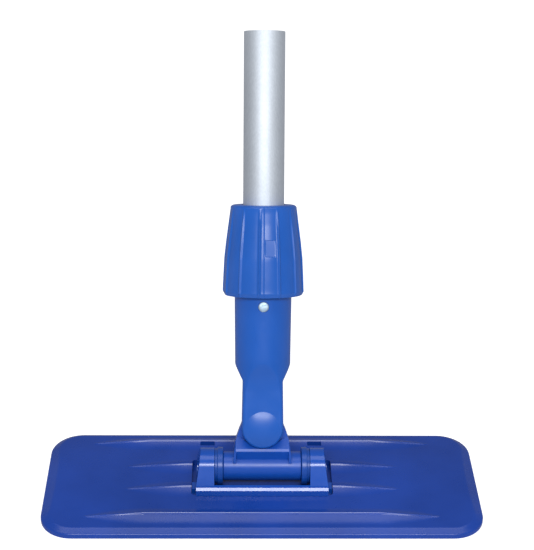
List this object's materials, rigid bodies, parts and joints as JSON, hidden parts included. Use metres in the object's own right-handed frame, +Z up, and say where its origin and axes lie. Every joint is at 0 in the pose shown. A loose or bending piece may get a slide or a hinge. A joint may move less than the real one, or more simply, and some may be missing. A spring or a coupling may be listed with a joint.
{
  "type": "swivel scrub pad holder",
  "caption": "Flat rectangular scrub pad holder on a two-axis swivel, with a fluted twist-lock collar clamping a round pole.",
  "frame": {"origin": "centre of the pad face, the flat underside of the plate", "axes": "+X along the plate's length, +Y to the rear, the way the pole leans, +Z up from the pad face"},
  "size_m": [0.235, 0.1501, 0.2322],
  "materials": {
    "plate_plastic": "satin moulded, dark blue",
    "hinge_plastic": "satin moulded, mid blue",
    "bush_plastic": "satin moulded acetal, mid blue",
    "socket_plastic": "satin moulded, light blue",
    "pole_aluminium": "satin anodised, faint drawing lines",
    "button_nickel": "nickel-plated, polished dome",
    "pin_steel": "ground",
    "screw_steel": "zinc-plated",
    "spring_steel": "tempered strip",
    "hook_tape": "moulded nylon hooks, black",
    "collet_plastic": "natural acetal",
    "plug_plastic": "moulded, black"
  },
  "bodies": {
    "base": {"base_plate": "plate_plastic", "front_hook_strip": "hook_tape", "rear_hook_strip": "hook_tape", "left_hook_strip": "hook_tape", "right_hook_strip": "hook_tape", "hinge_base": "hinge_plastic", "hinge_base_screws": "screw_steel", "hinge_pin": "pin_steel", "left_pin_cap": "hinge_plastic", "right_pin_cap": "hinge_plastic"},
    "yoke": {"yoke": "hinge_plastic", "left_hinge_bush": "bush_plastic", "right_hinge_bush": "bush_plastic"},
    "socket": {"pole_socket": "socket_plastic", "pivot_pin": "pin_steel", "pivot_cap": "socket_plastic", "clamp_collet": "collet_plastic", "pole_tube": "pole_aluminium", "pole_end_plug": "plug_plastic", "button_spring": "spring_steel"},
    "thrust_ring": {"thrust_washer": "collet_plastic"},
    "collar": {"locking_collar": "socket_plastic"},
    "button": {"snap_button": "button_nickel"}
  },
  "joints": [
    {"name": "yoke_pitch", "type": "hinge", "parent": "base", "child": "yoke", "pos_m": [0, 0, 0.0141], "axis": [1, 0, 0], "range_deg": [-46, 79]},
    {"name": "socket_tilt", "type": "hinge", "parent": "yoke", "child": "socket", "pos_m": [0, 0.00927, 0.03493], "axis": [0, -0.9135, 0.4067], "range_deg": [-60, 60]},
    {"name": "collar_climb", "type": "slide", "parent": "socket", "child": "thrust_ring", "axis": [0, 0.4067, 0.9135], "range_m": [0, 0.003]},
    {"name": "collar_turn", "type": "hinge", "parent": "thrust_ring", "child": "collar", "pos_m": [0, 0.04799, 0.1219], "axis": [0, 0.4067, 0.9135], "range_deg": [0, 270]},
    {"name": "button_press", "type": "slide", "parent": "socket", "child": "button", "axis": [0, 0.9135, -0.4067], "range_m": [0, 0.0049], "stiffness_N_per_m": 800, "springref_m": -0.003, "deforming": ["button_spring"]}
  ],
  "couplings": [
    {"joint": "collar_climb", "follows": "collar_turn", "m_per_rad": 0.000636}
  ]
}
